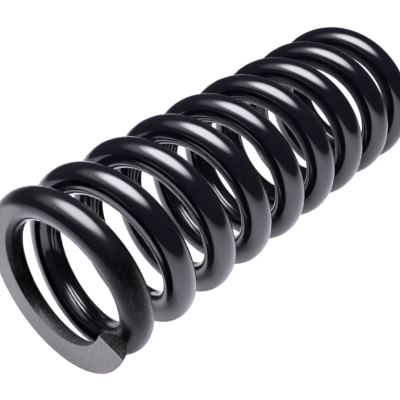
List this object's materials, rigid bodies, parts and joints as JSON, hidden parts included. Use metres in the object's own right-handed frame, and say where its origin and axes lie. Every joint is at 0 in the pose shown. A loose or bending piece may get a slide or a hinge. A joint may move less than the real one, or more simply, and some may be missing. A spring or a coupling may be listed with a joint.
{
  "type": "coil spring",
  "caption": "Gloss black helical compression spring for a coil-over strut, round wire, right-hand wound, ends closed and ground flat.",
  "frame": {"origin": "centre of the bottom ground face, which the spring stands on", "axes": "+Z along the spring's axis, from the bottom ground face to the top one; the bottom tip of the wire is at +X"},
  "size_m": [0.0947, 0.0946, 0.254],
  "materials": {
    "black_paint": "gloss",
    "ground_steel": "matt, fine grain across the face"
  },
  "bodies": {
    "bottom_end_coil": {"bottom_end_coil": "black_paint"},
    "coil_1_quarter_1": {"coil_1_quarter_1": "black_paint"},
    "coil_1_quarter_2": {"coil_1_quarter_2": "black_paint"},
    "coil_1_quarter_3": {"coil_1_quarter_3": "black_paint"},
    "coil_1_quarter_4": {"coil_1_quarter_4": "black_paint"},
    "coil_2_quarter_1": {"coil_2_quarter_1": "black_paint"},
    "coil_2_quarter_2": {"coil_2_quarter_2": "black_paint"},
    "coil_2_quarter_3": {"coil_2_quarter_3": "black_paint"},
    "coil_2_quarter_4": {"coil_2_quarter_4": "black_paint"},
    "coil_3_quarter_1": {"coil_3_quarter_1": "black_paint"},
    "coil_3_quarter_2": {"coil_3_quarter_2": "black_paint"},
    "coil_3_quarter_3": {"coil_3_quarter_3": "black_paint"},
    "coil_3_quarter_4": {"coil_3_quarter_4": "black_paint"},
    "coil_4_quarter_1": {"coil_4_quarter_1": "black_paint"},
    "coil_4_quarter_2": {"coil_4_quarter_2": "black_paint"},
    "coil_4_quarter_3": {"coil_4_quarter_3": "black_paint"},
    "coil_4_quarter_4": {"coil_4_quarter_4": "black_paint"},
    "coil_5_quarter_1": {"coil_5_quarter_1": "black_paint"},
    "coil_5_quarter_2": {"coil_5_quarter_2": "black_paint"},
    "coil_5_quarter_3": {"coil_5_quarter_3": "black_paint"},
    "coil_5_quarter_4": {"coil_5_quarter_4": "black_paint"},
    "coil_6_quarter_1": {"coil_6_quarter_1": "black_paint"},
    "coil_6_quarter_2": {"coil_6_quarter_2": "black_paint"},
    "coil_6_quarter_3": {"coil_6_quarter_3": "black_paint"},
    "coil_6_quarter_4": {"coil_6_quarter_4": "black_paint"},
    "coil_7_quarter_1": {"coil_7_quarter_1": "black_paint"},
    "coil_7_quarter_2": {"coil_7_quarter_2": "black_paint"},
    "coil_7_quarter_3": {"coil_7_quarter_3": "black_paint"},
    "coil_7_quarter_4": {"coil_7_quarter_4": "black_paint", "top_end_coil": "black_paint"}
  },
  "joints": [
    {"name": "spring_compression", "type": "slide", "parent": "bottom_end_coil", "child": "coil_1_quarter_1", "axis": [0, 0, -1], "range_m": [0, 0.00315], "stiffness_N_per_m": 100000},
    {"name": "compression_1_quarter_2", "type": "slide", "parent": "coil_1_quarter_1", "child": "coil_1_quarter_2", "axis": [0, 0, -1], "range_m": [0, 0.00315], "stiffness_N_per_m": 100000},
    {"name": "compression_1_quarter_3", "type": "slide", "parent": "coil_1_quarter_2", "child": "coil_1_quarter_3", "axis": [0, 0, -1], "range_m": [0, 0.00315], "stiffness_N_per_m": 100000},
    {"name": "compression_1_quarter_4", "type": "slide", "parent": "coil_1_quarter_3", "child": "coil_1_quarter_4", "axis": [0, 0, -1], "range_m": [0, 0.00315], "stiffness_N_per_m": 100000},
    {"name": "compression_2_quarter_1", "type": "slide", "parent": "coil_1_quarter_4", "child": "coil_2_quarter_1", "axis": [0, 0, -1], "range_m": [0, 0.00315], "stiffness_N_per_m": 100000},
    {"name": "compression_2_quarter_2", "type": "slide", "parent": "coil_2_quarter_1", "child": "coil_2_quarter_2", "axis": [0, 0, -1], "range_m": [0, 0.00315], "stiffness_N_per_m": 100000},
    {"name": "compression_2_quarter_3", "type": "slide", "parent": "coil_2_quarter_2", "child": "coil_2_quarter_3", "axis": [0, 0, -1], "range_m": [0, 0.00315], "stiffness_N_per_m": 100000},
    {"name": "compression_2_quarter_4", "type": "slide", "parent": "coil_2_quarter_3", "child": "coil_2_quarter_4", "axis": [0, 0, -1], "range_m": [0, 0.00315], "stiffness_N_per_m": 100000},
    {"name": "compression_3_quarter_1", "type": "slide", "parent": "coil_2_quarter_4", "child": "coil_3_quarter_1", "axis": [0, 0, -1], "range_m": [0, 0.00315], "stiffness_N_per_m": 100000},
    {"name": "compression_3_quarter_2", "type": "slide", "parent": "coil_3_quarter_1", "child": "coil_3_quarter_2", "axis": [0, 0, -1], "range_m": [0, 0.00315], "stiffness_N_per_m": 100000},
    {"name": "compression_3_quarter_3", "type": "slide", "parent": "coil_3_quarter_2", "child": "coil_3_quarter_3", "axis": [0, 0, -1], "range_m": [0, 0.00315], "stiffness_N_per_m": 100000},
    {"name": "compression_3_quarter_4", "type": "slide", "parent": "coil_3_quarter_3", "child": "coil_3_quarter_4", "axis": [0, 0, -1], "range_m": [0, 0.00315], "stiffness_N_per_m": 100000},
    {"name": "compression_4_quarter_1", "type": "slide", "parent": "coil_3_quarter_4", "child": "coil_4_quarter_1", "axis": [0, 0, -1], "range_m": [0, 0.00315], "stiffness_N_per_m": 100000},
    {"name": "compression_4_quarter_2", "type": "slide", "parent": "coil_4_quarter_1", "child": "coil_4_quarter_2", "axis": [0, 0, -1], "range_m": [0, 0.00315], "stiffness_N_per_m": 100000},
    {"name": "compression_4_quarter_3", "type": "slide", "parent": "coil_4_quarter_2", "child": "coil_4_quarter_3", "axis": [0, 0, -1], "range_m": [0, 0.00315], "stiffness_N_per_m": 100000},
    {"name": "compression_4_quarter_4", "type": "slide", "parent": "coil_4_quarter_3", "child": "coil_4_quarter_4", "axis": [0, 0, -1], "range_m": [0, 0.00315], "stiffness_N_per_m": 100000},
    {"name": "compression_5_quarter_1", "type": "slide", "parent": "coil_4_quarter_4", "child": "coil_5_quarter_1", "axis": [0, 0, -1], "range_m": [0, 0.00315], "stiffness_N_per_m": 100000},
    {"name": "compression_5_quarter_2", "type": "slide", "parent": "coil_5_quarter_1", "child": "coil_5_quarter_2", "axis": [0, 0, -1], "range_m": [0, 0.00315], "stiffness_N_per_m": 100000},
    {"name": "compression_5_quarter_3", "type": "slide", "parent": "coil_5_quarter_2", "child": "coil_5_quarter_3", "axis": [0, 0, -1], "range_m": [0, 0.00315], "stiffness_N_per_m": 100000},
    {"name": "compression_5_quarter_4", "type": "slide", "parent": "coil_5_quarter_3", "child": "coil_5_quarter_4", "axis": [0, 0, -1], "range_m": [0, 0.00315], "stiffness_N_per_m": 100000},
    {"name": "compression_6_quarter_1", "type": "slide", "parent": "coil_5_quarter_4", "child": "coil_6_quarter_1", "axis": [0, 0, -1], "range_m": [0, 0.00315], "stiffness_N_per_m": 100000},
    {"name": "compression_6_quarter_2", "type": "slide", "parent": "coil_6_quarter_1", "child": "coil_6_quarter_2", "axis": [0, 0, -1], "range_m": [0, 0.00315], "stiffness_N_per_m": 100000},
    {"name": "compression_6_quarter_3", "type": "slide", "parent": "coil_6_quarter_2", "child": "coil_6_quarter_3", "axis": [0, 0, -1], "range_m": [0, 0.00315], "stiffness_N_per_m": 100000},
    {"name": "compression_6_quarter_4", "type": "slide", "parent": "coil_6_quarter_3", "child": "coil_6_quarter_4", "axis": [0, 0, -1], "range_m": [0, 0.00315], "stiffness_N_per_m": 100000},
    {"name": "compression_7_quarter_1", "type": "slide", "parent": "coil_6_quarter_4", "child": "coil_7_quarter_1", "axis": [0, 0, -1], "range_m": [0, 0.00315], "stiffness_N_per_m": 100000},
    {"name": "compression_7_quarter_2", "type": "slide", "parent": "coil_7_quarter_1", "child": "coil_7_quarter_2", "axis": [0, 0, -1], "range_m": [0, 0.00315], "stiffness_N_per_m": 100000},
    {"name": "compression_7_quarter_3", "type": "slide", "parent": "coil_7_quarter_2", "child": "coil_7_quarter_3", "axis": [0, 0, -1], "range_m": [0, 0.00315], "stiffness_N_per_m": 100000},
    {"name": "compression_7_quarter_4", "type": "slide", "parent": "coil_7_quarter_3", "child": "coil_7_quarter_4", "axis": [0, 0, -1], "range_m": [0, 0.00315], "stiffness_N_per_m": 100000}
  ],
  "couplings": [
    {"joint": "compression_1_quarter_2", "follows": "spring_compression", "ratio": 1},
    {"joint": "compression_1_quarter_3", "follows": "spring_compression", "ratio": 1},
    {"joint": "compression_1_quarter_4", "follows": "spring_compression", "ratio": 1},
    {"joint": "compression_2_quarter_1", "follows": "spring_compression", "ratio": 1},
    {"joint": "compression_2_quarter_2", "follows": "spring_compression", "ratio": 1},
    {"joint": "compression_2_quarter_3", "follows": "spring_compression", "ratio": 1},
    {"joint": "compression_2_quarter_4", "follows": "spring_compression", "ratio": 1},
    {"joint": "compression_3_quarter_1", "follows": "spring_compression", "ratio": 1},
    {"joint": "compression_3_quarter_2", "follows": "spring_compression", "ratio": 1},
    {"joint": "compression_3_quarter_3", "follows": "spring_compression", "ratio": 1},
    {"joint": "compression_3_quarter_4", "follows": "spring_compression", "ratio": 1},
    {"joint": "compression_4_quarter_1", "follows": "spring_compression", "ratio": 1},
    {"joint": "compression_4_quarter_2", "follows": "spring_compression", "ratio": 1},
    {"joint": "compression_4_quarter_3", "follows": "spring_compression", "ratio": 1},
    {"joint": "compression_4_quarter_4", "follows": "spring_compression", "ratio": 1},
    {"joint": "compression_5_quarter_1", "follows": "spring_compression", "ratio": 1},
    {"joint": "compression_5_quarter_2", "follows": "spring_compression", "ratio": 1},
    {"joint": "compression_5_quarter_3", "follows": "spring_compression", "ratio": 1},
    {"joint": "compression_5_quarter_4", "follows": "spring_compression", "ratio": 1},
    {"joint": "compression_6_quarter_1", "follows": "spring_compression", "ratio": 1},
    {"joint": "compression_6_quarter_2", "follows": "spring_compression", "ratio": 1},
    {"joint": "compression_6_quarter_3", "follows": "spring_compression", "ratio": 1},
    {"joint": "compression_6_quarter_4", "follows": "spring_compression", "ratio": 1},
    {"joint": "compression_7_quarter_1", "follows": "spring_compression", "ratio": 1},
    {"joint": "compression_7_quarter_2", "follows": "spring_compression", "ratio": 1},
    {"joint": "compression_7_quarter_3", "follows": "spring_compression", "ratio": 1},
    {"joint": "compression_7_quarter_4", "follows": "spring_compression", "ratio": 1}
  ]
}
